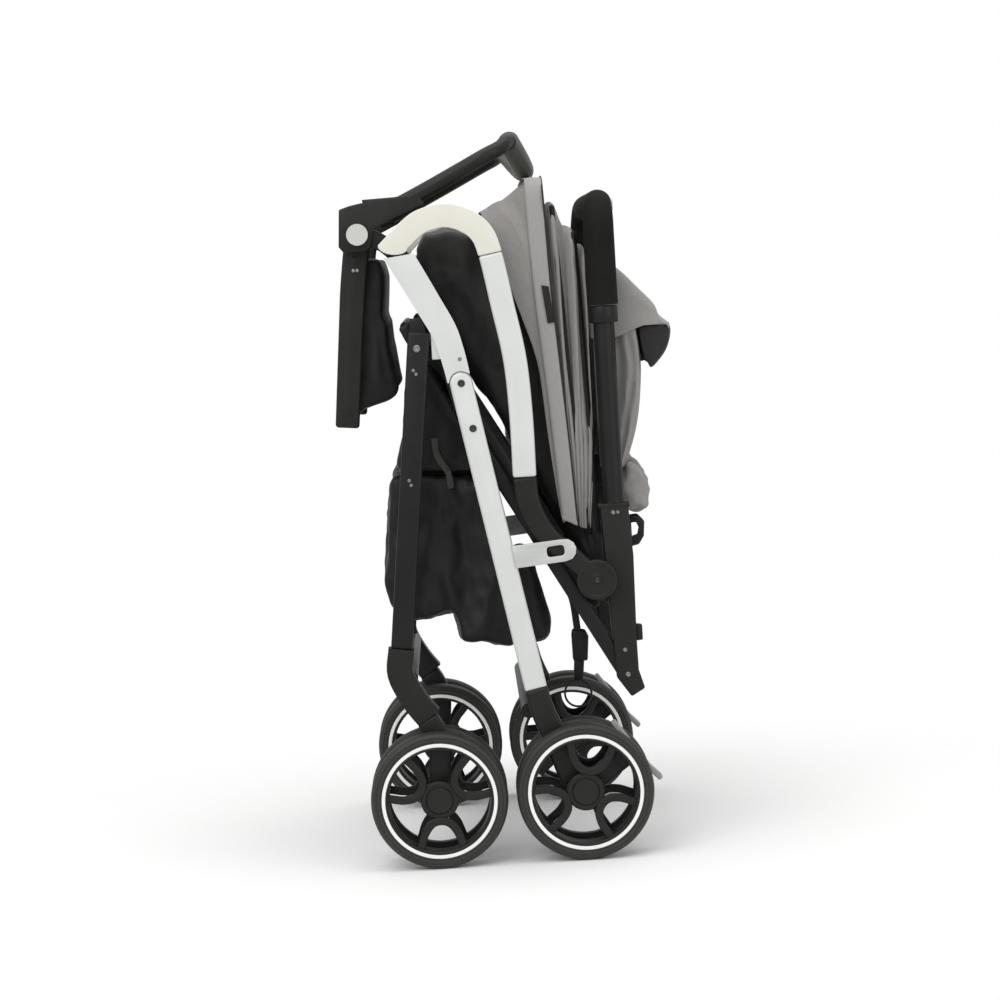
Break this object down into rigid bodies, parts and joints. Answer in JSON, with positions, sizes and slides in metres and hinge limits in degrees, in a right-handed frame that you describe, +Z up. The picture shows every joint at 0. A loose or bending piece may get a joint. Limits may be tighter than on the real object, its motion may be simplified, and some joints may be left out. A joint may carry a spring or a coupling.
{
  "type": "stroller",
  "caption": "Folding stroller standing folded on its wheels: hinged frame, armrest arches, padded seat, legrest, bumper bar, canopy and foam handle.",
  "frame": {"origin": "bottom centre of the bounding box, on the floor under the wheels", "axes": "+X toward the pusher (rear), +Y toward the occupant's right, +Z up; at rest the frame is folded"},
  "size_m": [0.4058, 0.49, 0.8506],
  "materials": {
    "tyre": "matt rubber",
    "silver_metal": "silver powder coat",
    "black_metal": "satin black powder coat",
    "black_cloth": "woven polyester",
    "grey_cloth": "woven polyester",
    "grey_plastic": "moulded",
    "foam_grip": "closed-cell foam",
    "black_plastic": "fine moulded grain"
  },
  "bodies": {
    "rear_frame": {"rear_cross_tube": "black_metal", "rear_leg_left": "silver_metal", "rear_foot_left": "black_plastic", "rear_leg_right": "silver_metal", "rear_foot_right": "black_plastic"},
    "front_frame": {"front_cross_tube": "black_metal", "basket": "black_cloth", "front_leg_left": "black_metal", "side_housing_left": "silver_metal", "front_foot_left": "black_plastic", "front_leg_right": "black_metal", "side_housing_right": "silver_metal", "front_foot_right": "black_plastic"},
    "armrests": {"arm_tube_left": "silver_metal", "arm_end_left": "black_plastic", "arm_tube_right": "silver_metal", "arm_end_right": "black_plastic"},
    "seat_frame": {"seat_cross_tube_1": "black_metal", "seat_cross_tube_2": "black_metal", "seat_pad": "black_cloth", "fold_strap": "black_plastic", "seat_tube_left": "black_metal", "seat_tube_right": "black_metal"},
    "legrest": {"legrest_pad": "black_cloth", "legrest_arm_left": "black_plastic", "legrest_arm_right": "black_plastic"},
    "bumper": {"bumper_grip": "foam_grip", "bumper_arm_left": "black_plastic", "bumper_arm_right": "black_plastic"},
    "handle": {"handle_grip": "foam_grip", "back_rod": "black_metal", "canopy_bow_rear": "black_metal", "canopy_cloth": "grey_cloth", "canopy_flap": "grey_cloth", "handle_bracket_left": "black_plastic", "handle_tube_left": "black_metal", "handle_bracket_right": "black_plastic", "handle_tube_right": "black_metal"},
    "canopy_front": {"canopy_bow_front": "black_metal"},
    "canopy_middle": {"canopy_bow_middle": "black_metal"},
    "seat_back": {"seat_back": "black_cloth"},
    "release": {"release_button": "grey_plastic"},
    "pedal_left": {"brake_pedal_left": "grey_plastic"},
    "caster_left": {"caster_left": "black_plastic"},
    "button_left": {"hinge_button_left": "grey_plastic"},
    "wheels_front_left": {"rim_front_left": "black_plastic", "tyre_front_left_outer": "tyre", "tyre_front_left_inner": "tyre"},
    "wheels_rear_left": {"rim_rear_left": "black_plastic", "tyre_rear_left_outer": "tyre", "tyre_rear_left_inner": "tyre"},
    "pedal_right": {"brake_pedal_right": "grey_plastic"},
    "caster_right": {"caster_right": "black_plastic"},
    "button_right": {"hinge_button_right": "grey_plastic"},
    "wheels_front_right": {"rim_front_right": "black_plastic", "tyre_front_right_outer": "tyre", "tyre_front_right_inner": "tyre"},
    "wheels_rear_right": {"rim_rear_right": "black_plastic", "tyre_rear_right_outer": "tyre", "tyre_rear_right_inner": "tyre"}
  },
  "joints": [
    {"name": "frame_fold", "type": "hinge", "parent": "rear_frame", "child": "front_frame", "pos_m": [-0.0533, 0, 0.5612], "axis": [0, 1, 0], "range_deg": [0, 55.6]},
    {"name": "armrest_hinge", "type": "hinge", "parent": "front_frame", "child": "armrests", "pos_m": [-0.133, 0, 0.7255], "axis": [0, 1, 0], "range_deg": [-92.2, 0.5]},
    {"name": "seat_hinge", "type": "hinge", "parent": "front_frame", "child": "seat_frame", "pos_m": [-0.101, 0, 0.6035], "axis": [0, 1, 0], "range_deg": [-92.2, 0.5]},
    {"name": "handle_hinge", "type": "hinge", "parent": "seat_frame", "child": "handle", "pos_m": [0.123, 0, 0.201], "axis": [0, 1, 0], "range_deg": [-0.5, 92.2]},
    {"name": "legrest_hinge", "type": "hinge", "parent": "seat_frame", "child": "legrest", "pos_m": [-0.163, 0, 0.739], "axis": [0, 1, 0], "range_deg": [0, 135]},
    {"name": "bumper_hinge", "type": "hinge", "parent": "seat_frame", "child": "bumper", "pos_m": [-0.163, 0, 0.739], "axis": [0, 1, 0], "range_deg": [-75, 0]},
    {"name": "canopy_fold", "type": "hinge", "parent": "handle", "child": "canopy_front", "pos_m": [0.094, 0, 0.3345], "axis": [0, 1, 0], "range_deg": [-15, 0], "deforming": ["canopy_cloth"]},
    {"name": "canopy_middle_fold", "type": "hinge", "parent": "handle", "child": "canopy_middle", "pos_m": [0.094, 0, 0.3345], "axis": [0, 1, 0], "range_deg": [-8, 0.5]},
    {"name": "back_recline", "type": "hinge", "parent": "handle", "child": "seat_back", "pos_m": [0.122, 0, 0.276], "axis": [0, 1, 0], "range_deg": [0, 6]},
    {"name": "release_push", "type": "slide", "parent": "handle", "child": "release", "axis": [-1, 0, 0], "range_m": [0, 0.003], "stiffness_N_per_m": 200},
    {"name": "pedal_left_hinge", "type": "hinge", "parent": "rear_frame", "child": "pedal_left", "pos_m": [0.11096, -0.206, 0.11381], "axis": [0, 1, 0], "range_deg": [-12, 12]},
    {"name": "caster_left_swivel", "type": "hinge", "parent": "front_frame", "child": "caster_left", "pos_m": [-0.1165, -0.206, 0.172], "axis": [0.5598, 0, -0.8287], "range_deg": [-15, 15]},
    {"name": "button_left_push", "type": "slide", "parent": "seat_frame", "child": "button_left", "axis": [0, 1, 0], "range_m": [0, 0.0025], "stiffness_N_per_m": 200},
    {"name": "wheels_front_left_spin", "type": "hinge", "parent": "caster_left", "child": "wheels_front_left", "pos_m": [-0.107, -0.206, 0.08], "axis": [0, 1, 0], "continuous": true},
    {"name": "wheels_rear_left_spin", "type": "hinge", "parent": "rear_frame", "child": "wheels_rear_left", "pos_m": [0.063, -0.206, 0.08], "axis": [0, 1, 0], "continuous": true},
    {"name": "pedal_right_hinge", "type": "hinge", "parent": "rear_frame", "child": "pedal_right", "pos_m": [0.11096, 0.206, 0.11381], "axis": [0, 1, 0], "range_deg": [-12, 12]},
    {"name": "caster_right_swivel", "type": "hinge", "parent": "front_frame", "child": "caster_right", "pos_m": [-0.1165, 0.206, 0.172], "axis": [0.5598, 0, -0.8287], "range_deg": [-15, 15]},
    {"name": "button_right_push", "type": "slide", "parent": "seat_frame", "child": "button_right", "axis": [0, -1, 0], "range_m": [0, 0.0025], "stiffness_N_per_m": 200},
    {"name": "wheels_front_right_spin", "type": "hinge", "parent": "caster_right", "child": "wheels_front_right", "pos_m": [-0.107, 0.206, 0.08], "axis": [0, 1, 0], "continuous": true},
    {"name": "wheels_rear_right_spin", "type": "hinge", "parent": "rear_frame", "child": "wheels_rear_right", "pos_m": [0.063, 0.206, 0.08], "axis": [0, 1, 0], "continuous": true}
  ],
  "couplings": [
    {"joint": "armrest_hinge", "follows": "frame_fold", "ratio": -1.64},
    {"joint": "seat_hinge", "follows": "frame_fold", "ratio": -1.64},
    {"joint": "handle_hinge", "follows": "frame_fold", "ratio": 1.64},
    {"joint": "canopy_middle_fold", "follows": "canopy_fold", "ratio": 0.5}
  ]
}
